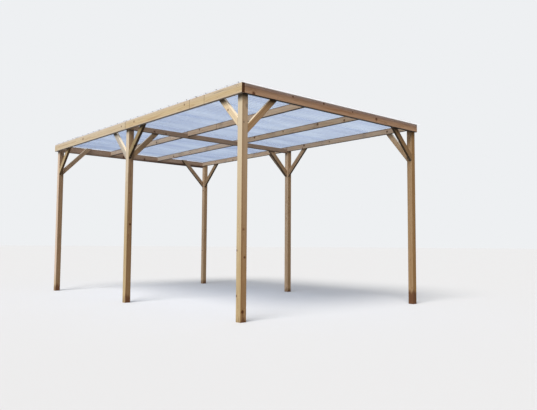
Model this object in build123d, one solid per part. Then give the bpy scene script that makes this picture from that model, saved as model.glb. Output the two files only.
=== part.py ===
from build123d import *
import math
import os

# A free-standing wooden pergola: six square posts, deep boards fixed outside them on three
# sides, a shallower beam in notches on the fourth, purlins lapped over a cross beam, knee
# braces at every post and a roof of lapped corrugated sheets.
# Millimetres, +Z up. +X points to the front end, +Y to the right side, and the origin is on
# the ground at the middle of the frame.

# Driving dimensions
overall_length = 6000
overall_width = 3600
timber_top = 2870
post_width = 90
board_thickness = 45
deep_beam_depth = 125
right_beam_depth = 90
purlin_thickness = 45
purlin_depth = 90
cross_beam_thickness = 45
cross_beam_depth = 80
lap_depth = 45
brace_thickness = 45
brace_depth = 80
brace_reach = 470
brace_drop = 470
front_left_brace_reach = 390
front_left_brace_drop = 390
front_right_brace_reach = 390
arris_width = 3
left_purlin_share = 0.330
right_purlin_share = 0.643
end_overhang = 38
left_overhang = 8
right_overhang = 45
sheet_thickness = 1.2
sheet_wave_height = 18
sheet_count = 6
waves_per_sheet = 14
lapped_waves = 1
sheet_gap = 0.3

# Places worked out from the driving dimensions
end_board_inside = overall_length / 2 - board_thickness
left_board_inside = -overall_width / 2 + board_thickness
right_face = overall_width / 2
post_row_x = end_board_inside - post_width / 2
left_row_y = left_board_inside + post_width / 2
right_row_y = right_face - post_width / 2
deep_beam_underside = timber_top - deep_beam_depth
right_beam_underside = timber_top - right_beam_depth
right_row_inside = right_face - post_width
purlin_underside = timber_top - purlin_depth
cross_beam_top = purlin_underside + lap_depth
cross_beam_underside = cross_beam_top - cross_beam_depth
lap_level = purlin_underside + lap_depth / 2
left_purlin_y = -overall_width / 2 + left_purlin_share * overall_width
right_purlin_y = -overall_width / 2 + right_purlin_share * overall_width
roof_length = overall_length + 2 * end_overhang
roof_left = -overall_width / 2 - left_overhang
roof_right = overall_width / 2 + right_overhang
wave_count = sheet_count * (waves_per_sheet - lapped_waves) + lapped_waves
wave_pitch = roof_length / wave_count
straight_slope = math.atan2(sheet_wave_height, wave_pitch / 2)
flank_slope = 1.5 * straight_slope
zigzag_height = wave_pitch / 2 * math.tan(flank_slope)
bend_radius = (zigzag_height - sheet_wave_height) / (2 / math.cos(flank_slope) - 2)

os.makedirs("parts", exist_ok=True)


def save(part, name):
    part.label = name
    export_step(part, f"parts/{name}.step")


def block(x_range, y_range, z_range):
    """A plain box between the given limits on each axis."""
    size = [high - low for low, high in (x_range, y_range, z_range)]
    middle = [(high + low) / 2 for low, high in (x_range, y_range, z_range)]
    return Pos(*middle) * Box(*size)


def timber(x_range, y_range, z_range, along):
    """A planed timber with its four long corners eased."""
    part = block(x_range, y_range, z_range)
    return chamfer(part.edges().filter_by(along), arris_width)


def spread(middle, size):
    """The two limits of a size laid out evenly on both sides of its middle."""
    return (middle - size / 2, middle + size / 2)


def left_post(x):
    """A full square post behind the deep board of the left side."""
    return timber(spread(x, post_width), spread(left_row_y, post_width), (0, timber_top), Axis.Z)


def right_post(x):
    """A square post whose inner face is notched at the top to carry the right beam."""
    post = timber(spread(x, post_width), spread(right_row_y, post_width), (0, timber_top), Axis.Z)
    beyond = post_width
    notch = block(
        spread(x, post_width + 2 * beyond),
        (right_row_inside - beyond, right_row_inside + board_thickness),
        (right_beam_underside, timber_top + beyond),
    )
    return post - notch


def left_beam(x_range):
    """One length of the deep board outside the left row of posts."""
    return timber(
        x_range,
        (-overall_width / 2, left_board_inside),
        (deep_beam_underside, timber_top),
        Axis.X,
    )


def right_beam(x_range):
    """One length of the shallow beam lying in the notches of the right row of posts."""
    return timber(
        x_range,
        (right_row_inside, right_row_inside + board_thickness),
        (right_beam_underside, timber_top),
        Axis.X,
    )


def end_beam(side):
    """The deep board outside the posts of one end, butted behind the left board."""
    x_range = sorted((side * end_board_inside, side * overall_length / 2))
    return timber(
        x_range,
        (left_board_inside, right_face),
        (deep_beam_underside, timber_top),
        Axis.Y,
    )


def cross_beam():
    """The beam between the middle posts, notched on top for each purlin."""
    beam = timber(
        spread(0, cross_beam_thickness),
        (left_row_y + post_width / 2, right_row_inside),
        (cross_beam_underside, cross_beam_top),
        Axis.Y,
    )
    for y in (left_purlin_y, right_purlin_y):
        beam -= block(
            spread(0, 2 * cross_beam_thickness),
            spread(y, purlin_thickness),
            (lap_level, cross_beam_top + lap_depth),
        )
    return beam


def purlin(x_range, y):
    """One length of purlin, butted on the cross beam and notched half over it."""
    part = timber(x_range, spread(y, purlin_thickness), (purlin_underside, timber_top), Axis.X)
    notch = block(
        spread(0, cross_beam_thickness),
        spread(y, 2 * purlin_thickness),
        (purlin_underside - lap_depth, lap_level),
    )
    return part - notch


def brace_outline(top, reach, drop):
    """The brace seen flat: its foot stands on the post's face, its head is cut level. It rises
    from the foot to the given reach at the level of the deep boards' underside."""
    slope = math.atan2(drop, reach)
    foot = deep_beam_underside - drop
    head = (top - foot) * reach / drop
    return Polyline(
        (0, foot),
        (head, top),
        (head - brace_depth / math.sin(slope), top),
        (0, foot + brace_depth / math.cos(slope)),
        close=True,
    )


def brace(face_point, direction, top, reach=brace_reach, drop=brace_drop):
    """A knee brace that rises away from a post's face along one level direction."""
    away = Vector(*direction)
    flat = Plane(origin=(*face_point, 0), x_dir=away, z_dir=away.cross(Vector(0, 0, 1)))
    outline = make_face(brace_outline(top, reach, drop))
    part = extrude(flat * outline, amount=brace_thickness / 2, both=True)
    longest = part.edges().sort_by(Edge.length)[-4:]
    return chamfer(longest, arris_width)


def left_brace(x, toward, reach=brace_reach, drop=brace_drop):
    """A brace along the left side, lapped on the inside of the deep board."""
    face_point = (x + toward * post_width / 2, left_board_inside + brace_thickness / 2)
    return brace(face_point, (toward, 0, 0), timber_top, reach, drop)


def right_brace(x, toward, reach=brace_reach):
    """A brace along the right side, cut level under the shallow beam."""
    face_point = (x + toward * post_width / 2, right_row_inside + brace_thickness / 2)
    return brace(face_point, (toward, 0, 0), right_beam_underside, reach)


def across_brace(x, row_y):
    """A brace across the frame: lapped on an end board, or cut level under the cross beam."""
    toward = -math.copysign(1, row_y)
    face_y = row_y + toward * post_width / 2
    if x == 0:
        return brace((0, face_y), (0, toward, 0), cross_beam_underside)
    inset = math.copysign(end_board_inside - brace_thickness / 2, x)
    return brace((inset, face_y), (0, toward, 0), timber_top)


def wave_line(start, waves, level):
    """The wavy line of a sheet: a zigzag about its mid level with every corner rounded."""
    middle = level + sheet_wave_height / 2
    half_wave = wave_pitch / 2
    points = [(start, middle)]
    for half in range(2 * waves):
        side = 1 if half % 2 == 0 else -1
        points.append((start + half * half_wave + half_wave / 2, middle + side * zigzag_height / 2))
    points.append((start + waves * wave_pitch, middle))
    return FilletPolyline(*points, radius=bend_radius)


def roof_sheet(index):
    """A corrugated sheet. Every second one lies over the edge waves of its neighbours."""
    start = -roof_length / 2 + index * (waves_per_sheet - lapped_waves) * wave_pitch
    lifted = index % 2
    level = timber_top + sheet_gap + lifted * (sheet_thickness + sheet_gap)
    under = wave_line(start, waves_per_sheet, level)
    over = wave_line(start, waves_per_sheet, level + sheet_thickness)
    ends = [Line(under @ 0, over @ 0), Line(under @ 1, over @ 1)]
    profile = Plane.XZ * make_face([*under.edges(), *over.edges(), *ends])
    return extrude(Pos(0, roof_right, 0) * profile, amount=roof_right - roof_left)


rows = {"front": post_row_x, "middle": 0, "rear": -post_row_x}
for row, x in rows.items():
    save(left_post(x), f"post_{row}_left")
    save(right_post(x), f"post_{row}_right")

halves = {"front": (0, 1), "rear": (-1, 0)}
for half, (low, high) in halves.items():
    between_ends = (low * end_board_inside, high * end_board_inside)
    save(left_beam((low * overall_length / 2, high * overall_length / 2)), f"beam_left_{half}")
    save(right_beam(between_ends), f"beam_right_{half}")
    save(purlin(between_ends, left_purlin_y), f"purlin_left_{half}")
    save(purlin(between_ends, right_purlin_y), f"purlin_right_{half}")

save(end_beam(1), "beam_front")
save(end_beam(-1), "beam_rear")
save(cross_beam(), "cross_beam")

# The two front braces that run along the sides are shorter than the rest
short_left = left_brace(post_row_x, -1, front_left_brace_reach, front_left_brace_drop)
save(short_left, "brace_front_left_along")
save(left_brace(0, 1), "brace_middle_left_forward")
save(left_brace(0, -1), "brace_middle_left_backward")
save(left_brace(-post_row_x, 1), "brace_rear_left_along")
save(right_brace(post_row_x, -1, front_right_brace_reach), "brace_front_right_along")
save(right_brace(0, 1), "brace_middle_right_forward")
save(right_brace(0, -1), "brace_middle_right_backward")
save(right_brace(-post_row_x, 1), "brace_rear_right_along")

for row, x in rows.items():
    save(across_brace(x, left_row_y), f"brace_{row}_left_across")
    save(across_brace(x, right_row_y), f"brace_{row}_right_across")

for index in range(sheet_count):
    save(roof_sheet(index), f"roof_sheet_{index + 1}")
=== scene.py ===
import math
import random

import bmesh
import bpy
from mathutils import Matrix, Vector


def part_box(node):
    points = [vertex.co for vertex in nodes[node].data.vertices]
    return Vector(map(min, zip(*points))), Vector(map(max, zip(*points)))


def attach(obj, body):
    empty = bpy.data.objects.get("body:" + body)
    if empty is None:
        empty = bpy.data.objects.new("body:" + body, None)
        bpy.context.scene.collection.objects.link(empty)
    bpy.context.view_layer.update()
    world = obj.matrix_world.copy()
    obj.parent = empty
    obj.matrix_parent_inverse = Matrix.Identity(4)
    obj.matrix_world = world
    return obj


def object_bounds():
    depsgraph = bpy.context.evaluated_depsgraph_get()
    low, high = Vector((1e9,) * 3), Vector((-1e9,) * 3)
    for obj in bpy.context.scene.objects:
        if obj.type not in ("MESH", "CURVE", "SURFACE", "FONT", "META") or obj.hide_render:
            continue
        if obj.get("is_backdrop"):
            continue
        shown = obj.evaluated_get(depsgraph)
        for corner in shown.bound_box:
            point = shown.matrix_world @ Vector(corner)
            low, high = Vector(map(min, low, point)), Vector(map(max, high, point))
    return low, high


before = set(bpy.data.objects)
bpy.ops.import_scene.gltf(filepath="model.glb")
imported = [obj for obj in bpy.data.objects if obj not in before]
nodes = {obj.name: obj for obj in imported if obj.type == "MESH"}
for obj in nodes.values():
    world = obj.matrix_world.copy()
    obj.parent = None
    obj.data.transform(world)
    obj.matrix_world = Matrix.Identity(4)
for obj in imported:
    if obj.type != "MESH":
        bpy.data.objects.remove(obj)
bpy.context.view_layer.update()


def linear(code):
    """The linear colour of an sRGB hex code such as #d0bb93."""
    shares = [int(code[start:start + 2], 16) / 255 for start in (1, 3, 5)]
    return [s / 12.92 if s <= 0.04045 else ((s + 0.055) / 1.055) ** 2.4 for s in shares] + [1]


def add(tree, kind, inputs=None, stops=(), **settings):
    """Adds a node, sets it, gives each input a value or a link, and each ramp stop a colour."""
    node = tree.nodes.new(kind)
    for name, value in settings.items():
        setattr(node, name, value)
    for name, value in (inputs or {}).items():
        if isinstance(value, bpy.types.NodeSocket):
            tree.links.new(value, node.inputs[name])
        else:
            node.inputs[name].default_value = value
    for index, (place, code) in enumerate(stops):
        marks = node.color_ramp.elements
        mark = marks[index] if index < 2 else marks.new(place)
        mark.position = place
        mark.color = linear(code)
    return node


def empty_material(name):
    """A new material without nodes, and its node tree."""
    material = bpy.data.materials.new(name)
    material.use_nodes = True
    material.node_tree.nodes.clear()
    return material, material.node_tree


def grain_of(name):
    """The direction in which a timber's grain runs."""
    if name.startswith("post"):
        return Vector((0, 0, 1))
    if name.startswith(("beam_left", "beam_right", "purlin")):
        return Vector((1, 0, 0))
    if name.startswith(("beam_front", "beam_rear", "cross_beam")):
        return Vector((0, 1, 0))
    if name.endswith("across"):
        return Vector((0, 1 if "left" in name else -1, 1)).normalized()
    forward = "rear" in name or name.endswith("forward")
    return Vector((1 if forward else -1, 0, 1)).normalized()


# Knots that can be made out, by timber: the middle of each in metres, its radius, and the axis
# along which it runs through the wood
SEEN_KNOTS = {
    "beam_front": [
        ((3, -1.615, 2.760), 0.017, 0),
        ((3, -0.955, 2.839), 0.009, 0),
        ((3, -0.377, 2.844), 0.011, 0),
        ((3, 0.221, 2.823), 0.008, 0),
        ((3, 0.761, 2.803), 0.016, 0),
    ],
    "beam_left_front": [((1.733, -1.8, 2.825), 0.010, 1), ((0.291, -1.8, 2.823), 0.012, 1)],
    "beam_left_rear": [((-1.644, -1.8, 2.813), 0.015, 1), ((-0.137, -1.8, 2.810), 0.010, 1)],
    "purlin_right_front": [
        ((2.040, 0.49, 2.835), 0.015, 1),
        ((2.601, 0.49, 2.810), 0.013, 1),
        ((0.464, 0.49, 2.845), 0.014, 1),
        ((1.229, 0.49, 2.840), 0.009, 1),
    ],
    "purlin_left_front": [((0.378, -0.63, 2.843), 0.010, 1)],
    "purlin_right_rear": [((-2.279, 0.49, 2.810), 0.013, 1), ((-1.633, 0.49, 2.820), 0.009, 1)],
    "beam_right_front": [
        ((0.498, 1.71, 2.843), 0.017, 1),
        ((0.460, 1.71, 2.790), 0.010, 1),
        ((1.165, 1.71, 2.827), 0.010, 1),
        ((2.474, 1.71, 2.820), 0.013, 1),
    ],
    "beam_rear": [((-2.955, 0.164, 2.790), 0.015, 0), ((-2.955, -0.340, 2.785), 0.015, 0)],
    "cross_beam": [((0.022, -1.284, 2.772), 0.012, 0), ((0.022, -1.066, 2.765), 0.009, 0)],
    "post_front_left": [
        ((2.955, -1.674, 2.607), 0.019, 0),
        ((2.955, -1.728, 2.400), 0.009, 0),
        ((2.917, -1.718, 1.102), 0.015, 0),
        ((2.955, -1.700, 0.768), 0.010, 0),
        ((2.955, -1.724, 0.125), 0.014, 0),
        ((2.875, -1.755, 0.850), 0.009, 1),
        ((2.872, -1.755, 0.308), 0.010, 1),
    ],
    "brace_front_left_along": [((2.668, -1.74, 2.593), 0.010, 1)],
    "brace_front_right_across": [((2.87, 1.45, 2.62), 0.008, 0)],
}

# How deep a knot runs into the wood, in metres. On a timber whose own knots can't be made out:
# how far apart they lie, how far they stray from its middle line, and their radii
KNOT_LENGTH = 0.035
KNOT_GAP = 0.66
KNOT_STRAY = 0.027
KNOT_RADII = (0.006, 0.014)

# How far up each post the rain has splashed the wood dark, in metres, and how dark the side is
# that takes the weather
FOOT_STAINS = {
    "post_front_left": (0.03, 0.4),
    "post_front_right": (0.20, 0.9),
    "post_middle_left": (0.10, 0.35),
    "post_middle_right": (0.05, 0.6),
    "post_rear_left": (0.11, 0.6),
    "post_rear_right": (0.06, 0.6),
}

# Posts that are paler towards the top: the share of pale wood there on the side that takes the
# weather and on the others, the heights in metres between which it sets in, and its colour
PALE_TOPS = {
    "post_front_left": (0.6, 0.27, 0.6, 2.4, "#fbf0dc"),
    "post_middle_left": (0.55, 0.05, 1.2, 2.1, "#fbf0e2"),
    "post_rear_left": (0.6, 0.05, 0.0, 0.4, "#fbe6dc"),
}

# Joints where lengths of board are butted or spliced, by timber: their places along X, in metres
SPLICES = {
    "beam_left_front": (0, 1.858, 2.206),
    "beam_left_rear": (0,),
    "beam_right_front": (0,),
    "beam_right_rear": (0,),
    "purlin_left_front": (0, 0.862),
    "purlin_left_rear": (0,),
    "purlin_right_front": (0,),
    "purlin_right_rear": (0,),
}

# Half the width of the dark line at such a joint, in metres: a real one is about 2 mm wide, too
# fine to show, so it is drawn 9 mm wide
SEAM_HALF = 0.0045

# The colour of each timber: how deep it is, how bright, and how bright on the sides away from the
# weather. Both brightnesses are partly painted light and shade: each timber is painted brighter
# or darker as the light falls on it, and the sides away from the weather darker, as if in shade
TONES = {
    "beam_front": (1.00, 1.14, 1.14),
    "beam_left_front": (1.00, 1.09, 0.90),
    "beam_left_rear": (0.80, 1.14, 0.90),
    "beam_rear": (0.95, 0.89, 1.00),
    "beam_right_front": (0.93, 1.04, 0.90),
    "beam_right_rear": (0.95, 1.26, 0.90),
    "cross_beam": (0.93, 0.75, 1.00),
    "purlin_left_front": (0.98, 1.28, 0.90),
    "purlin_left_rear": (0.87, 1.39, 0.90),
    "purlin_right_front": (1.00, 1.05, 0.90),
    "purlin_right_rear": (0.80, 1.30, 0.90),
    "post_front_left": (1.07, 0.98, 0.80),
    "post_front_right": (1.15, 0.67, 1.01),
    "post_middle_left": (1.05, 0.97, 0.60),
    "post_middle_right": (1.00, 1.37, 0.69),
    "post_rear_left": (1.05, 0.90, 0.60),
    "post_rear_right": (1.00, 1.33, 0.74),
    "brace_front_left_across": (1.00, 1.00, 0.85),
    "brace_front_left_along": (0.80, 1.43, 1.00),
    "brace_front_right_across": (1.08, 1.00, 0.54),
    "brace_front_right_along": (1.12, 1.15, 0.90),
    "brace_middle_left_across": (1.00, 1.00, 0.70),
    "brace_middle_left_backward": (0.38, 0.98, 0.80),
    "brace_middle_left_forward": (1.15, 0.56, 1.00),
    "brace_middle_right_across": (1.00, 1.00, 0.91),
    "brace_middle_right_backward": (1.00, 0.45, 1.00),
    "brace_middle_right_forward": (1.05, 0.95, 0.90),
    "brace_rear_left_across": (0.95, 1.03, 0.94),
    "brace_rear_left_along": (1.08, 0.82, 0.90),
    "brace_rear_right_across": (0.95, 1.03, 0.80),
    "brace_rear_right_along": (1.15, 0.80, 0.95),
}

# Noises drawn out along the grain: how often each changes in a metre along the grain and across
# it, its detail and its roughness. The pith line wanders once a metre or so, fibres are 1 to 3 mm
# wide, streaks 20 to 30 mm, and drying cracks lie 30 mm apart or more
GRAIN_NOISES = {
    "wander": (0.9, 4, 2, 0.5),
    "fibre": (6, 260, 3, 0.6),
    "streak": (0.5, 34, 3, 0.55),
    "crack": (1.3, 30, 1, 0.5),
}

# Growth rings are drawn 7 mm apart: real ones are nearer 4 mm, too fine to show from a few metres
RING_GAP = 0.007


def knots_of(name, low, high, dice):
    """The knots of a timber: those that can be made out, or a few spread along it."""
    if name in SEEN_KNOTS:
        return SEEN_KNOTS[name]
    grain, middle = grain_of(name), (low + high) / 2
    length = (high - low).dot(Vector([abs(part) for part in grain]))
    through = [axis for axis in (0, 1) if abs(grain[axis]) < 0.5]
    knots = []
    for _ in range(max(1, round(length / KNOT_GAP))):
        axis = dice.choice(through)
        along = dice.uniform(-0.9, 0.9) * length / 2
        aside = [dice.uniform(-KNOT_STRAY, KNOT_STRAY) * (1 - abs(part)) for part in grain]
        spot = middle + grain * along + Vector(aside)
        knots.append((tuple(spot), dice.uniform(*KNOT_RADII), axis))
    return knots


def wood_place(tree, place, name, low, high, dice):
    """A place in the wood: how far along the grain, and how far from the pith line each way. The
    pith line lies inside a post and 45 to 80 mm beside a board's middle, so posts show stripes,
    boards show long arches and ends show rings. Each timber has its own stretch of the tree."""
    post = name.startswith("post")
    grain = grain_of(name)
    side = Vector((1, 0, 0)) if post else Vector((0, 0, 1)).cross(grain).normalized()
    other = grain.cross(side)
    turn = Matrix((grain, side, other))
    sway = 0.02 if post else 0.03
    away = 0.0 if post else dice.choice((-1, 1)) * dice.uniform(0.045, 0.08)
    pith = (low + high) / 2 + side * (away + dice.uniform(-sway, sway))
    pith += other * dice.uniform(-sway, sway)
    start = -(turn @ pith) + Vector((dice.uniform(5, 40), 0, 0))
    return add(
        tree, "ShaderNodeMapping",
        {"Vector": place, "Location": start, "Rotation": turn.to_euler()},
    ).outputs["Vector"]


def ring_radius(tree, wood, wander):
    """How far a place is from the pith line, which wanders by some millimetres."""
    centred = add(
        tree, "ShaderNodeVectorMath", {0: wander, 1: (0.5, 0.5, 0.5)}, operation="SUBTRACT"
    ).outputs[0]
    bent = add(
        tree, "ShaderNodeVectorMath", {0: centred, 1: (0, 0.05, 0.05), 2: wood},
        operation="MULTIPLY_ADD",
    ).outputs[0]
    across = add(
        tree, "ShaderNodeVectorMath", {0: bent, 1: (0, 1, 1)}, operation="MULTIPLY"
    ).outputs[0]
    return add(tree, "ShaderNodeVectorMath", {0: across}, operation="LENGTH").outputs["Value"]


def knot_distance(tree, place, knots):
    """How many of its own radii a place is from the nearest knot."""
    nearest = None
    for middle, radius, axis in knots:
        squash = [1 / radius] * 3
        squash[axis] = 1 / KNOT_LENGTH
        shift = [-part * share for part, share in zip(middle, squash)]
        local = add(
            tree, "ShaderNodeMapping", {"Vector": place, "Location": shift, "Scale": squash}
        ).outputs["Vector"]
        far = add(tree, "ShaderNodeVectorMath", {0: local}, operation="LENGTH").outputs["Value"]
        if nearest is None:
            nearest = far
        else:
            nearest = add(
                tree, "ShaderNodeMath", {0: nearest, 1: far}, operation="MINIMUM"
            ).outputs[0]
    return nearest


def sawn_pine(tree, noises, radius, nearest):
    """The wood's own colour, and the growth rings and drying cracks that its relief follows."""
    swirl = add(
        tree, "ShaderNodeMapRange",
        {"Value": nearest, "From Min": 5, "From Max": 0.6, "To Min": 0, "To Max": 1.7},
        interpolation_type="SMOOTHSTEP",
    ).outputs["Result"]
    rings = add(
        tree, "ShaderNodeMath", {0: radius, 1: 1 / RING_GAP, 2: swirl}, operation="MULTIPLY_ADD"
    ).outputs[0]
    ring = add(tree, "ShaderNodeMath", {0: rings}, operation="FRACT").outputs[0]
    ring_tone = add(
        tree, "ShaderNodeValToRGB", {"Fac": ring},
        stops=[(0.0, "#dac6a0"), (0.55, "#d2ba93"), (0.86, "#b08c5f"), (1.0, "#d6c09a")],
    ).outputs["Color"]
    streak_tone = add(
        tree, "ShaderNodeValToRGB", {"Fac": noises["streak"]["Fac"]},
        stops=[(0.30, "#bd9c72"), (0.42, "#d8c49e"), (0.56, "#decfac"), (0.70, "#cfb08a")],
    ).outputs["Color"]
    toned = add(
        tree, "ShaderNodeMix", {0: 0.55, 6: ring_tone, 7: streak_tone}, data_type="RGBA"
    ).outputs[2]
    fibre_shade = add(
        tree, "ShaderNodeMapRange",
        {
            "Value": noises["fibre"]["Fac"],
            "From Min": 0.3,
            "From Max": 0.7,
            "To Min": 0.84,
            "To Max": 1.08,
        },
    ).outputs["Result"]
    shaded = add(
        tree, "ShaderNodeVectorMath", {0: toned, "Scale": fibre_shade}, operation="SCALE"
    ).outputs[0]

    # A knot is red-brown with a dark rim, in a halo of darker wood
    from_middle = add(
        tree, "ShaderNodeMath", {0: nearest, 1: 0.4}, operation="MULTIPLY"
    ).outputs[0]
    knot_tone = add(
        tree, "ShaderNodeValToRGB", {"Fac": from_middle},
        stops=[
            (0.0, "#613c22"),
            (0.28, "#70462a"),
            (0.40, "#3d2516"),
            (0.52, "#9c7247"),
            (1.0, "#c9ae80"),
        ],
    ).outputs["Color"]
    knot_share = add(
        tree, "ShaderNodeMapRange",
        {"Value": nearest, "From Min": 2.3, "From Max": 1.0, "To Min": 0, "To Max": 0.92},
    ).outputs["Result"]
    knotty = add(
        tree, "ShaderNodeMix", {0: knot_share, 6: shaded, 7: knot_tone}, data_type="RGBA"
    ).outputs[2]

    # Drying cracks follow one level of their noise, and only where the pith line wanders far
    centred = add(
        tree, "ShaderNodeMath", {0: noises["crack"]["Fac"], 1: 0.5}, operation="SUBTRACT"
    ).outputs[0]
    off_crack = add(tree, "ShaderNodeMath", {0: centred}, operation="ABSOLUTE").outputs[0]
    crack_line = add(
        tree, "ShaderNodeMapRange",
        {"Value": off_crack, "From Min": 0.012, "From Max": 0.004, "To Min": 0, "To Max": 1},
    ).outputs["Result"]
    crack_zone = add(
        tree, "ShaderNodeMapRange",
        {"Value": noises["wander"]["Fac"], "From Min": 0.56, "From Max": 0.62},
    ).outputs["Result"]
    crack = add(
        tree, "ShaderNodeMath", {0: crack_line, 1: crack_zone}, operation="MULTIPLY"
    ).outputs[0]
    cracked = add(
        tree, "ShaderNodeMix", {0: crack, 6: knotty, 7: linear("#6a4c30")}, data_type="RGBA"
    ).outputs[2]
    return cracked, ring, crack


def weathered(tree, name, wood_tone, end, facing_minus_y, upward):
    """The wood's colour after a season or two outside. End grain drinks water and goes dark. The
    rest is painted shade: faces that look down are painted dark, and the sides that don't face
    -Y, away from the light, are painted browner, darker and redder than the side that does."""
    end_tone = add(
        tree, "ShaderNodeMix", {0: 1.0, 6: wood_tone, 7: linear("#6b4f2c")},
        data_type="RGBA", blend_type="MULTIPLY",
    ).outputs[2]
    ended = add(
        tree, "ShaderNodeMix", {0: end, 6: wood_tone, 7: end_tone}, data_type="RGBA"
    ).outputs[2]
    depth, brightness, shaded_side_value = TONES[name]
    sunlit = "left" in name and not name.startswith("purlin")
    # Painted shade: the sides that don't face -Y are painted browner, darker and warmer than the
    # side that does
    shaded_side_tone = linear("#f1dbcf" if name.startswith(("post", "brace")) else "#f3dcda")
    brown = [part * shaded_side_value for part in shaded_side_tone[:3]] + [1]
    cast = add(
        tree, "ShaderNodeMix",
        {0: facing_minus_y, 6: brown, 7: linear("#ffffff" if sunlit else "#fff3f6")},
        data_type="RGBA",
    ).outputs[2]
    cast_tone = add(
        tree, "ShaderNodeMix", {0: 1.0, 6: ended, 7: cast},
        data_type="RGBA", blend_type="MULTIPLY",
    ).outputs[2]
    # Painted shade: faces that look down are painted dark
    if name == "brace_rear_left_along":
        underside_shade_share = 0.5
    else:
        underside_shade_share = 0.22 if name.startswith("brace") else 0.08
    under = add(
        tree, "ShaderNodeMapRange",
        {
            "Value": upward,
            "From Min": -0.65,
            "From Max": -0.5,
            "To Min": underside_shade_share * brightness,
            "To Max": brightness,
        },
    ).outputs["Result"]
    return add(
        tree, "ShaderNodeHueSaturation",
        {"Color": cast_tone, "Saturation": depth, "Value": under},
    ).outputs["Color"]


def front_board_shade_bands(tree, finished, height, low, high):
    """Painted shade on the front board: dark along its lower edge, standing in for the shadow of
    its underside, and grey along its top, standing in for the shade of the sheets' edge. Between
    these it is pale low down and darker and redder higher up."""
    rise = add(
        tree, "ShaderNodeMapRange", {"Value": height, "From Min": low.z, "From Max": high.z}
    ).outputs["Result"]
    bands = add(
        tree, "ShaderNodeValToRGB", {"Fac": rise},
        stops=[
            (0.02, "#4d443c"),
            (0.06, "#e2e5f0"),
            (0.20, "#e6e3e8"),
            (0.44, "#d8d5d8"),
            (0.60, "#d2ced5"),
            (0.80, "#d5ddfd"),
            (0.92, "#b8cef2"),
        ],
    ).outputs["Color"]
    return add(
        tree, "ShaderNodeMix", {0: 1.0, 6: finished, 7: bands},
        data_type="RGBA", blend_type="MULTIPLY",
    ).outputs[2]


def pale_edges(tree, height, streak, end, low, high):
    """How much the left boards are painted paler along their top and along their lower edge."""
    uneven = add(
        tree, "ShaderNodeMath", {0: streak, 1: 0.04, 2: height}, operation="MULTIPLY_ADD"
    ).outputs[0]
    top = add(
        tree, "ShaderNodeMapRange",
        {"Value": uneven, "From Min": high.z - 0.04, "From Max": high.z + 0.02, "To Max": 0.5},
    ).outputs["Result"]
    edge = add(
        tree, "ShaderNodeMapRange",
        {"Value": height, "From Min": low.z + 0.023, "From Max": low.z + 0.007, "To Max": 0.45},
    ).outputs["Result"]
    pale = add(tree, "ShaderNodeMath", {0: top, 1: edge}, operation="MAXIMUM").outputs[0]
    off_end = add(tree, "ShaderNodeMath", {0: 1, 1: end}, operation="SUBTRACT").outputs[0]
    return add(tree, "ShaderNodeMath", {0: pale, 1: off_end}, operation="MULTIPLY").outputs[0]


def shaded_top(tree, height, streak, high):
    """How far a board's or purlin's top edge is painted dark: painted shade where the roof sheets
    shade it.
    """
    uneven = add(
        tree, "ShaderNodeMath", {0: streak, 1: 0.02, 2: height}, operation="MULTIPLY_ADD"
    ).outputs[0]
    return add(
        tree, "ShaderNodeMapRange",
        {"Value": uneven, "From Min": high.z - 0.008, "From Max": high.z + 0.004, "To Max": 0.75},
    ).outputs["Result"]


def shaded_lower_edge(tree, spot, low):
    """How far the rear board is painted darker towards its lower edge: painted shade, stronger to
    the right."""
    share = add(
        tree, "ShaderNodeMapRange",
        {"Value": spot["Y"], "From Min": -1.0, "From Max": 1.0, "To Min": 0.2, "To Max": 1.0},
    ).outputs["Result"]
    return add(
        tree, "ShaderNodeMapRange",
        {
            "Value": spot["Z"],
            "From Min": low.z + 0.06,
            "From Max": low.z + 0.015,
            "To Max": share,
        },
    ).outputs["Result"]


def seam(tree, spot, along):
    """The dark line of a joint between two lengths of board."""
    line = add(
        tree, "ShaderNodeMath", {0: spot["X"], 1: along, 2: SEAM_HALF}, operation="COMPARE"
    ).outputs[0]
    return add(tree, "ShaderNodeMath", {0: line, 1: 0.8}, operation="MULTIPLY").outputs[0]


def paler_towards_top(tree, height, facing_minus_y, weather_share, other_share, pale_low, pale_high):
    """How far a post is painted paler towards its top."""
    most = add(
        tree, "ShaderNodeMapRange",
        {"Value": facing_minus_y, "To Min": other_share, "To Max": weather_share},
    ).outputs["Result"]
    return add(
        tree, "ShaderNodeMapRange",
        {"Value": height, "From Min": pale_low, "From Max": pale_high, "To Max": most},
    ).outputs["Result"]


def heartwood(tree, spot, ways, low):
    """A stripe of darker heartwood beside a post's near arris, on the side that faces +X."""
    stripe = add(
        tree, "ShaderNodeMapRange",
        {
            "Value": spot["Y"],
            "From Min": low.y + 0.005,
            "From Max": low.y + 0.03,
            "To Min": 0.45,
            "To Max": 0,
        },
    ).outputs["Result"]
    return add(tree, "ShaderNodeMath", {0: stripe, 1: ways["X"]}, operation="MULTIPLY").outputs[0]


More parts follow.
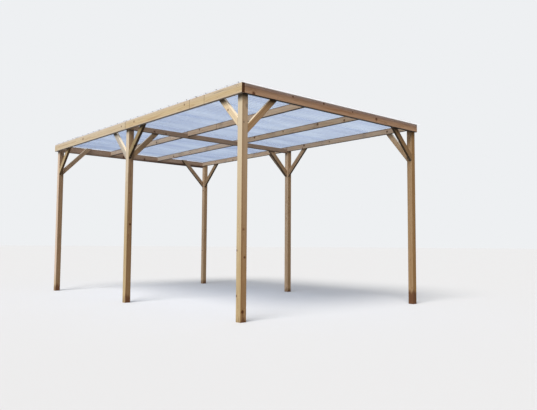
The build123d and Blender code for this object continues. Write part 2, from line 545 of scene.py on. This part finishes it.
def board_shade(tree, name, height, ways, facing_minus_y):
    """Painted shade close under the boards: the wood is painted dark for 50 to 100 mm on the
    faces that look to -Y, and for 40 mm on those that look to +X."""
    under_right_beam = "right" in name and not name.endswith("across")
    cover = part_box("beam_right_front" if under_right_beam else "beam_front")[0].z
    long_shade = "front" in name or name == "post_middle_right"
    left_close, front_close = [
        add(
            tree, "ShaderNodeMapRange",
            {
                "Value": height,
                "From Min": cover - reach,
                "From Max": cover - 0.015,
                "To Max": 0.8,
            },
        ).outputs["Result"]
        for reach in (0.10 if long_shade else 0.05, 0.04)
    ]
    shade = add(
        tree, "ShaderNodeMath", {0: left_close, 1: facing_minus_y}, operation="MULTIPLY"
    ).outputs[0]
    if "rear" not in name:
        front_shade = add(
            tree, "ShaderNodeMath", {0: front_close, 1: ways["X"]}, operation="MULTIPLY"
        ).outputs[0]
        shade = add(
            tree, "ShaderNodeMath", {0: shade, 1: front_shade}, operation="MAXIMUM"
        ).outputs[0]
    below = add(
        tree, "ShaderNodeMath", {0: height, 1: cover + 0.002}, operation="LESS_THAN"
    ).outputs[0]
    return add(tree, "ShaderNodeMath", {0: shade, 1: below}, operation="MULTIPLY").outputs[0]


def splashed_foot(tree, name, height, streak, facing_minus_y):
    """How far the rain has stained a post's foot, with a ragged upper edge."""
    stain_height, weather_share = FOOT_STAINS[name]
    ragged = add(
        tree, "ShaderNodeMath", {0: streak, 1: -0.3, 2: height}, operation="MULTIPLY_ADD"
    ).outputs[0]
    most = add(
        tree, "ShaderNodeMapRange", {"Value": facing_minus_y, "To Min": 0.9, "To Max": weather_share}
    ).outputs["Result"]
    # The streaks are 0.5 on average, so they lower the ragged height by 150 mm
    level = stain_height - 0.15
    return add(
        tree, "ShaderNodeMapRange",
        {"Value": ragged, "From Min": level + 0.04, "From Max": level - 0.04, "To Max": most},
        interpolation_type="SMOOTHSTEP",
    ).outputs["Result"]


def planed_pine(name, low, high):
    """Planed pine, pressure treated and weathered: pale sapwood with honey-brown rings and
    streaks, matt and faintly furrowed, and grey, brown or dark in places, partly weather stains
    and partly painted shade and light."""
    dice = random.Random(name)
    material, tree = empty_material("planed_pine_" + name)
    place = add(tree, "ShaderNodeTexCoord").outputs["Object"]
    spot = add(tree, "ShaderNodeSeparateXYZ", {0: place}).outputs
    height = spot["Z"]
    normal = add(tree, "ShaderNodeNewGeometry").outputs["Normal"]
    ways = add(tree, "ShaderNodeSeparateXYZ", {0: normal}).outputs
    wood = wood_place(tree, place, name, low, high, dice)
    nearest = knot_distance(tree, place, knots_of(name, low, high, dice))
    noises = {}
    for noise, (along, across, detail, roughness) in GRAIN_NOISES.items():
        drawn_out = add(
            tree, "ShaderNodeMapping", {"Vector": wood, "Scale": (along, across, across)}
        ).outputs["Vector"]
        noises[noise] = add(
            tree, "ShaderNodeTexNoise",
            {"Vector": drawn_out, "Scale": 1, "Detail": detail, "Roughness": roughness},
        ).outputs
    fibre, streak = noises["fibre"]["Fac"], noises["streak"]["Fac"]
    radius = ring_radius(tree, wood, noises["wander"]["Color"])
    wood_tone, ring, crack = sawn_pine(tree, noises, radius, nearest)

    facing = add(
        tree, "ShaderNodeVectorMath", {0: normal, 1: grain_of(name)}, operation="DOT_PRODUCT"
    ).outputs["Value"]
    facing = add(tree, "ShaderNodeMath", {0: facing}, operation="ABSOLUTE").outputs[0]
    end = add(
        tree, "ShaderNodeMapRange", {"Value": facing, "From Min": 0.6, "From Max": 0.72}
    ).outputs["Result"]
    facing_minus_y = add(
        tree, "ShaderNodeMapRange", {"Value": ways["Y"], "From Min": -0.2, "From Max": -0.8}
    ).outputs["Result"]
    finished = weathered(tree, name, wood_tone, end, facing_minus_y, ways["Z"])

    # What lies over the wood, stains and painted shade and light, from the first to the last: the
    # share of each and its colour
    stains_and_shades = []
    if name.startswith("beam_left"):
        stains_and_shades.append((pale_edges(tree, height, streak, end, low, high), "#e9dfd6"))
    elif name == "beam_front":
        # Painted shade along the front board's lower edge and top
        finished = front_board_shade_bands(tree, finished, height, low, high)
    elif name.startswith(("beam", "purlin")):
        # Painted shade along the top edge of the other boards and purlins, under the sheets
        stains_and_shades.append((shaded_top(tree, height, streak, high), "#4f3c32"))
    if name == "beam_rear":
        # Painted shade along the rear board's lower edge
        stains_and_shades.append((shaded_lower_edge(tree, spot, low), "#3a241c"))
    for along in SPLICES.get(name, ()):
        stains_and_shades.append((seam(tree, spot, along), "#6b4a2c"))
    if name in PALE_TOPS:
        *limits, pale_tone = PALE_TOPS[name]
        stains_and_shades.append((paler_towards_top(tree, height, facing_minus_y, *limits), pale_tone))
    if name == "post_front_left":
        stains_and_shades.append((heartwood(tree, spot, ways, low), "#80531f"))
    if name.startswith(("post", "brace")):
        # Painted shade close under the boards
        stains_and_shades.append((board_shade(tree, name, height, ways, facing_minus_y), "#2e1d10"))
    if name.startswith("brace"):
        # Painted light: the upper face of a brace is painted nearly white, as if lit from above
        upper = add(
            tree, "ShaderNodeMapRange", {"Value": ways["Z"], "From Min": 0.55, "From Max": 0.65}
        ).outputs["Result"]
        stains_and_shades.append((upper, "#fff2da"))
    if name.startswith("post"):
        stains_and_shades.append((splashed_foot(tree, name, height, streak, facing_minus_y), "#6a452d"))
    for share, code in stains_and_shades:
        finished = add(
            tree, "ShaderNodeMix", {0: share, 6: finished, 7: linear(code)}, data_type="RGBA"
        ).outputs[2]

    rough = add(
        tree, "ShaderNodeMapRange",
        {"Value": fibre, "From Min": 0.3, "From Max": 0.7, "To Min": 0.78, "To Max": 0.62},
    ).outputs["Result"]
    relief = add(
        tree, "ShaderNodeMath", {0: ring, 1: -0.5, 2: fibre}, operation="MULTIPLY_ADD"
    ).outputs[0]
    relief = add(
        tree, "ShaderNodeMath", {0: crack, 1: -3, 2: relief}, operation="MULTIPLY_ADD"
    ).outputs[0]
    bump = add(
        tree, "ShaderNodeBump", {"Height": relief, "Strength": 0.5, "Distance": 0.0008}
    ).outputs["Normal"]
    surface = add(
        tree, "ShaderNodeBsdfPrincipled",
        {
            "Base Color": finished,
            "Roughness": rough,
            "IOR": 1.5,
            "Specular IOR Level": 0.25,
            "Normal": bump,
        },
    )
    add(tree, "ShaderNodeOutputMaterial", {"Surface": surface.outputs[0]})
    return material


# The roof as the frame has it, in metres: the sheets' length together, the level of the crests,
# the waves in all and in a sheet, and how far each sheet lies beyond the one before
SHEET_LENGTH, CREST_TOP, WAVES, WAVES_A_SHEET = 6.076, 2.8896, 79, 14
WAVE_PITCH = SHEET_LENGTH / WAVES
SHEET_STEP = (WAVES_A_SHEET - 1) * WAVE_PITCH


def clear_polycarbonate():
    """Corrugated polycarbonate, extruded clear with a blue cast: glossy, and hazed by a film of
    dew that daylight shines through. The rim that overhangs the frame has dried clear. The cut
    edges and the front and rear hems are painted white and held opaque: painted light, standing
    in for the light that they gather."""
    material, tree = empty_material("clear_polycarbonate")
    place = add(tree, "ShaderNodeTexCoord").outputs["Object"]
    # Dew lies in soft bands along the waves, 200 to 400 mm wide
    drawn_out = add(
        tree, "ShaderNodeMapping", {"Vector": place, "Scale": (3, 0.6, 1)}
    ).outputs["Vector"]
    bands = add(
        tree, "ShaderNodeTexNoise", {"Vector": drawn_out, "Scale": 1, "Detail": 2}
    ).outputs["Fac"]
    tint = add(
        tree, "ShaderNodeValToRGB", {"Fac": bands}, stops=[(0.35, "#b2bdd1"), (0.65, "#c9d3e0")]
    ).outputs["Color"]

    # The rim starts at the inner faces of the boards, and the hems just beyond the end boards
    inner_end, outer_end = (corner.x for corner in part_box("beam_front"))
    inner_side = -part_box("beam_left_front")[1].y
    spread = add(tree, "ShaderNodeVectorMath", {0: place}, operation="ABSOLUTE").outputs[0]
    spread = add(tree, "ShaderNodeSeparateXYZ", {0: spread}).outputs
    dry_end, dry_side = [
        add(
            tree, "ShaderNodeMapRange",
            {"Value": spread[way], "From Min": inside - 0.005, "From Max": inside + 0.005},
        ).outputs["Result"]
        for way, inside in (("X", inner_end), ("Y", inner_side))
    ]
    dry = add(tree, "ShaderNodeMath", {0: dry_end, 1: dry_side}, operation="MAXIMUM").outputs[0]
    # Painted light: the hems and the cut edges are painted nearly white and opaque
    hem = add(
        tree, "ShaderNodeMapRange",
        {
            "Value": spread["X"],
            "From Min": outer_end + 0.004,
            "From Max": outer_end + 0.010,
            "To Max": 0.85,
        },
    ).outputs["Result"]
    normal = add(tree, "ShaderNodeNewGeometry").outputs["Normal"]
    facing = add(tree, "ShaderNodeVectorMath", {0: normal}, operation="ABSOLUTE").outputs[0]
    facing = add(tree, "ShaderNodeSeparateXYZ", {0: facing}).outputs
    sideways = add(
        tree, "ShaderNodeMath", {0: facing["X"], 1: facing["Y"]}, operation="MAXIMUM"
    ).outputs[0]
    cut = add(
        tree, "ShaderNodeMapRange", {"Value": sideways, "From Min": 0.85, "From Max": 0.95}
    ).outputs["Result"]
    white = add(tree, "ShaderNodeMath", {0: cut, 1: hem}, operation="MAXIMUM").outputs[0]

    # Where two sheets lap, the tint is painted paler: painted light, standing in for the light
    # caught between them, so a lap looks no darker
    along = add(tree, "ShaderNodeSeparateXYZ", {0: place}).outputs["X"]
    turns = add(
        tree, "ShaderNodeMath", {0: along, 1: 1 / SHEET_STEP, 2: SHEET_LENGTH / 2 / SHEET_STEP},
        operation="MULTIPLY_ADD",
    ).outputs[0]
    turns = add(tree, "ShaderNodeMath", {0: turns}, operation="FRACT").outputs[0]
    lap = add(
        tree, "ShaderNodeMath", {0: turns, 1: WAVE_PITCH / SHEET_STEP}, operation="LESS_THAN"
    ).outputs[0]
    lapped = add(tree, "ShaderNodeMath", {0: lap, 1: 0.5}, operation="MULTIPLY").outputs[0]
    lapped_tint = add(
        tree, "ShaderNodeMix", {0: lapped, 6: tint, 7: linear("#eef1f6")}, data_type="RGBA"
    ).outputs[2]
    edge_tint = add(
        tree, "ShaderNodeMix", {0: white, 6: lapped_tint, 7: linear("#f3f3f4")},
        data_type="RGBA",
    ).outputs[2]

    gloss = add(
        tree, "ShaderNodeBsdfPrincipled",
        {"Base Color": edge_tint, "Roughness": 0.18, "IOR": 1.585},
    ).outputs[0]
    glow = add(tree, "ShaderNodeBsdfTranslucent", {"Color": edge_tint}).outputs[0]
    film = add(tree, "ShaderNodeMixShader", {0: 0.85, 1: gloss, 2: glow}).outputs[0]
    body_tint = add(
        tree, "ShaderNodeMix",
        {0: dry, 6: linear("#f0f4fb"), 7: linear("#fdfdfe")}, data_type="RGBA",
    ).outputs[2]
    through = add(tree, "ShaderNodeBsdfTransparent", {"Color": body_tint}).outputs[0]
    haze = add(
        tree, "ShaderNodeMapRange",
        {"Value": bands, "From Min": 0.3, "From Max": 0.7, "To Min": 0.38, "To Max": 0.44},
    ).outputs["Result"]
    haze = add(tree, "ShaderNodeMix", {0: dry, 2: haze, 3: 0.04}, data_type="FLOAT").outputs[0]
    hold = add(tree, "ShaderNodeMath", {0: haze, 1: white}, operation="MAXIMUM").outputs[0]
    mixed = add(tree, "ShaderNodeMixShader", {0: hold, 1: through, 2: film}).outputs[0]
    add(tree, "ShaderNodeOutputMaterial", {"Surface": mixed})
    return material


def zinc_plated_steel():
    """Zinc-plated screws a season or two old: dull grey, with darker blotches 3 mm across."""
    material, tree = empty_material("zinc_plated_steel")
    place = add(tree, "ShaderNodeTexCoord").outputs["Object"]
    blotch = add(
        tree, "ShaderNodeTexNoise", {"Vector": place, "Scale": 320, "Detail": 3}
    ).outputs["Fac"]
    tone = add(
        tree, "ShaderNodeValToRGB", {"Fac": blotch}, stops=[(0.35, "#6f6c66"), (0.65, "#aaa79f")]
    ).outputs["Color"]
    rough = add(
        tree, "ShaderNodeMapRange", {"Value": blotch, "To Min": 0.32, "To Max": 0.6}
    ).outputs["Result"]
    surface = add(
        tree, "ShaderNodeBsdfPrincipled",
        {"Base Color": tone, "Metallic": 0.9, "Roughness": rough},
    )
    add(tree, "ShaderNodeOutputMaterial", {"Surface": surface.outputs[0]})
    return material


def rubber_washer():
    """Moulded grey EPDM rubber: matt, with patches of dust 7 mm across."""
    material, tree = empty_material("rubber_washer")
    place = add(tree, "ShaderNodeTexCoord").outputs["Object"]
    dust = add(
        tree, "ShaderNodeTexNoise", {"Vector": place, "Scale": 140, "Detail": 2}
    ).outputs["Fac"]
    tone = add(
        tree, "ShaderNodeValToRGB", {"Fac": dust}, stops=[(0.35, "#3a3b3c"), (0.7, "#5a5a58")]
    ).outputs["Color"]
    surface = add(tree, "ShaderNodeBsdfPrincipled", {"Base Color": tone, "Roughness": 0.75})
    add(tree, "ShaderNodeOutputMaterial", {"Surface": surface.outputs[0]})
    return material


def new_piece(name, bm, *materials):
    """Makes an object of a finished bmesh, with its place in its mesh."""
    mesh = bpy.data.meshes.new(name)
    bm.to_mesh(mesh)
    bm.free()
    for material in materials:
        mesh.materials.append(material)
    piece = bpy.data.objects.new(name, mesh)
    bpy.context.scene.collection.objects.link(piece)
    return piece


def screw_head(bm, at, out):
    """A countersunk screw head 10 mm across, 0.6 mm proud of the wood, with a round recess."""
    stand = Matrix.Translation(at) @ out.to_track_quat("Z", "Y").to_matrix().to_4x4()
    rim = bmesh.ops.create_circle(bm, cap_ends=True, segments=12, radius=0.005, matrix=stand)
    face = rim["verts"][0].link_faces[0]
    raised = bmesh.ops.extrude_face_region(bm, geom=[face])
    top = [part for part in raised["geom"] if isinstance(part, bmesh.types.BMFace)][0]
    bmesh.ops.translate(bm, verts=top.verts, vec=out * 0.0006)
    bmesh.ops.inset_region(bm, faces=[top], thickness=0.0024, depth=0)
    bmesh.ops.inset_region(bm, faces=[top], thickness=0.0004, depth=-0.0018)


# How deep the knee braces are, in metres
BRACE_DEPTH = 0.08

# Where the screws sit, in metres: in from a board's lower and upper edge, from a purlin's edges,
# from a brace's foot and from its head, and to each side of a post's middle on the boards and on
# the right beam
LOW_SCREW, HIGH_SCREW, PURLIN_SCREW = 0.035, 0.030, 0.022
FOOT_SCREW, HEAD_SCREW = 0.045, 0.05
BOARD_SIDE, BEAM_SIDE = 0.018, 0.024


def brace_screws(name):
    """Where the screws of a knee brace show: one through its lower edge and one through its upper
    edge at the foot, and at its head two through the board that it laps, or one from below."""
    low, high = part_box(name)
    up = Vector((0, 0, 1))
    level = grain_of(name)
    level = Vector((level.x, level.y, 0)).normalized()
    run, rise = abs((high - low).dot(level)), high.z - low.z
    slant = math.hypot(run, rise)
    foot = (low + high) / 2 - level * run / 2
    foot.z = low.z
    climb = (level * run + up * rise).normalized()
    below = (level * rise - up * run).normalized()
    upper_foot = BRACE_DEPTH * rise / run
    places = [
        (foot + climb * FOOT_SCREW, below),
        (foot - below * BRACE_DEPTH + climb * (upper_foot + FOOT_SCREW), -below),
    ]
    if name.endswith("across"):
        lapped = "middle" not in name
        board = "beam_front" if "front" in name else "beam_rear"
        out = Vector((1 if "front" in name else -1, 0, 0))
    else:
        lapped = "left" in name
        board = "beam_left_front"
        out = Vector((0, -1, 0))
    if not lapped:
        return places + [(foot + climb * (slant - HEAD_SCREW), below)]
    board_low, board_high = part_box(board)
    face = board_high if out.x > 0 else board_low
    for height in (board_low.z + LOW_SCREW, board_high.z - LOW_SCREW):
        reach = (height - low.z) * run / rise - BRACE_DEPTH * slant / (2 * rise)
        spot = foot + level * reach
        spot.z = height
        if out.x:
            spot.x = face.x
        else:
            spot.y = face.y
        places.append((spot, out))
    return places


def screw_places():
    """Where the screws of the frame show: (place, direction out of the wood)."""
    middles = {name: sum(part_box(name), Vector()) / 2 for name in nodes}
    left, front = Vector((0, -1, 0)), Vector((1, 0, 0))
    board_low, board_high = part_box("beam_front")
    low_step = (-BOARD_SIDE, board_low.z + LOW_SCREW)
    high_step = (BOARD_SIDE, board_high.z - HIGH_SCREW)
    left_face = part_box("beam_left_front")[0].y
    right_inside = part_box("beam_right_front")[0].y
    places = []
    for row in ("front", "middle", "rear"):
        along = middles[f"post_{row}_left"].x
        for step, height in (low_step, high_step):
            places.append((Vector((along + step, left_face, height)), left))
            places.append((Vector((along - step, left_face, height)), left))
        along = middles[f"post_{row}_right"].x
        height = middles["beam_right_front"].z
        for step in (-BEAM_SIDE, BEAM_SIDE):
            places.append((Vector((along + step, right_inside, height)), left))
    for end, out in (("front", front), ("rear", -front)):
        board_low, board_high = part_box(f"beam_{end}")
        face = board_high.x if end == "front" else board_low.x
        for side in ("left", "right"):
            across = middles[f"post_{end}_{side}"].y
            for step, height in (low_step, high_step):
                places.append((Vector((face, across + step, height)), out))
            across = middles[f"purlin_{side}_{end}"].y
            low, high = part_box(f"purlin_{side}_{end}")
            for height in (low.z + PURLIN_SCREW, high.z - PURLIN_SCREW):
                places.append((Vector((face, across, height)), out))
    for name in nodes:
        if name.startswith("brace"):
            places += brace_screws(name)
    return places


def roof_screw(bm, at):
    """A roofing screw on a wave's crest: a hexagon head 9 mm across and 5 mm high on a domed
    rubber washer 19 mm across and 3 mm thick."""
    base = Matrix.Translation(at + Vector((0, 0, 0.0015)))
    bmesh.ops.create_cone(
        bm, cap_ends=True, segments=14, radius1=0.0095, radius2=0.0070, depth=0.003, matrix=base
    )
    washer = len(bm.faces)
    head = Matrix.Translation(at + Vector((0, 0, 0.0055)))
    bmesh.ops.create_cone(
        bm, cap_ends=True, segments=6, radius1=0.0046, radius2=0.0044, depth=0.005, matrix=head
    )
    bm.faces.ensure_lookup_table()
    for face in bm.faces[washer:]:
        face.material_index = 1


def seen_share(tree):
    """Whether a ray shows its end to the camera: straight, in a reflection or through glass."""
    sight = add(tree, "ShaderNodeLightPath").outputs
    seen = sight["Is Camera Ray"]
    for ray in ("Is Glossy Ray", "Is Transmission Ray"):
        seen = add(
            tree, "ShaderNodeMath", {0: seen, 1: sight[ray]}, operation="MAXIMUM"
        ).outputs[0]
    return seen


def studio_floor():
    """A plain floor, so wide that its edge shows as a level line. It looks pale, but sends up
    only the light that a dull one would."""
    bm = bmesh.new()
    bmesh.ops.create_circle(bm, cap_ends=True, segments=96, radius=220)
    bmesh.ops.translate(bm, verts=bm.verts, vec=(0, 0, -0.001))
    material, tree = empty_material("pale_floor")
    tone = add(
        tree, "ShaderNodeMix",
        {0: seen_share(tree), 6: linear("#67645f"), 7: linear("#dee2e9")}, data_type="RGBA",
    ).outputs[2]
    surface = add(tree, "ShaderNodeBsdfDiffuse", {"Color": tone}).outputs[0]
    add(tree, "ShaderNodeOutputMaterial", {"Surface": surface})
    floor = new_piece("floor", bm, material)
    floor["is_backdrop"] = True


def studio_light():
    """A broad soft lamp from the left of the camera, a weak warm one from the right, a weak one
    from behind, and dim light from all round. The camera sees a plain pale backdrop."""
    for name, strength, code, size, source in (
        ("key_light", 3.2, "#fff9f1", 35, (0.4, -0.85, 1.1)),
        ("fill_light", 0.1, "#ffead4", 50, (1.0, 0.25, 0.6)),
        ("back_light", 0.5, "#f6f4f2", 40, (-0.6, 1.0, 0.2)),
    ):
        lamp = bpy.data.lights.new(name, "SUN")
        lamp.energy = strength
        lamp.color = linear(code)[:3]
        lamp.angle = math.radians(size)
        light = bpy.data.objects.new(name, lamp)
        light.rotation_mode = "QUATERNION"
        light.rotation_quaternion = (-Vector(source)).to_track_quat("-Z", "Y")
        bpy.context.scene.collection.objects.link(light)
    world = bpy.data.worlds.new("studio_backdrop")
    world.use_nodes = True
    tree = world.node_tree
    tree.nodes.clear()
    dim = add(tree, "ShaderNodeBackground", {"Color": linear("#f2efe9"), "Strength": 0.4})
    backdrop = add(tree, "ShaderNodeBackground", {"Color": linear("#eef0f2"), "Strength": 1})
    round_about = add(
        tree, "ShaderNodeMixShader",
        {0: seen_share(tree), 1: dim.outputs[0], 2: backdrop.outputs[0]},
    ).outputs[0]
    add(tree, "ShaderNodeOutputWorld", {"Surface": round_about})
    bpy.context.scene.world = world


def stand_camera():
    """The camera stands at waist height off the near corner, and looks slightly up."""
    stand = (8.2848, -5.9567, 0.9216)
    yaw, pitch, roll = (math.radians(angle) for angle in (139.012, 3.982, 0.362))
    level = Vector((math.cos(yaw), math.sin(yaw), 0))
    ahead = level * math.cos(pitch) + Vector((0, 0, math.sin(pitch)))
    right = Vector((level.y, -level.x, 0))
    up = right.cross(ahead)
    rolled_right = math.cos(roll) * right + math.sin(roll) * up
    rolled_up = math.cos(roll) * up - math.sin(roll) * right
    turn = Matrix((rolled_right, rolled_up, -ahead)).transposed().to_4x4()
    lens = bpy.data.cameras.new("camera")
    lens.sensor_fit = "HORIZONTAL"
    lens.sensor_width = 36
    lens.lens = 38.145
    camera = bpy.data.objects.new("camera", lens)
    camera.matrix_world = Matrix.Translation(stand) @ turn
    bpy.context.scene.collection.objects.link(camera)
    bpy.context.scene.camera = camera


sheet_finish = clear_polycarbonate()
for name, piece in nodes.items():
    piece.data.materials.clear()
    if name.startswith("roof_sheet"):
        piece.data.materials.append(sheet_finish)
    else:
        piece.data.materials.append(planed_pine(name, *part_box(name)))

steel, rubber = zinc_plated_steel(), rubber_washer()

bm = bmesh.new()
for at, out in screw_places():
    screw_head(bm, at, out)
frame_screws = new_piece("frame_screws", bm, steel)
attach(frame_screws, "root")

# The roofing screws stand on every third crest, over the boards and purlins that run lengthways.
# A wave's crest is a quarter of the way along it
bm = bmesh.new()
for timber in ("beam_left_front", "purlin_left_front", "purlin_right_front", "beam_right_front"):
    low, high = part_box(timber)
    for crest in range(2, WAVES, 3):
        x = -SHEET_LENGTH / 2 + (crest + 0.25) * WAVE_PITCH
        roof_screw(bm, Vector((x, (low.y + high.y) / 2, CREST_TOP)))
roof_screws = new_piece("roof_screws", bm, rubber, steel)
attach(roof_screws, "root")

studio_floor()
studio_light()
stand_camera()
bpy.context.scene.view_settings.view_transform = "Standard"

low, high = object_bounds()
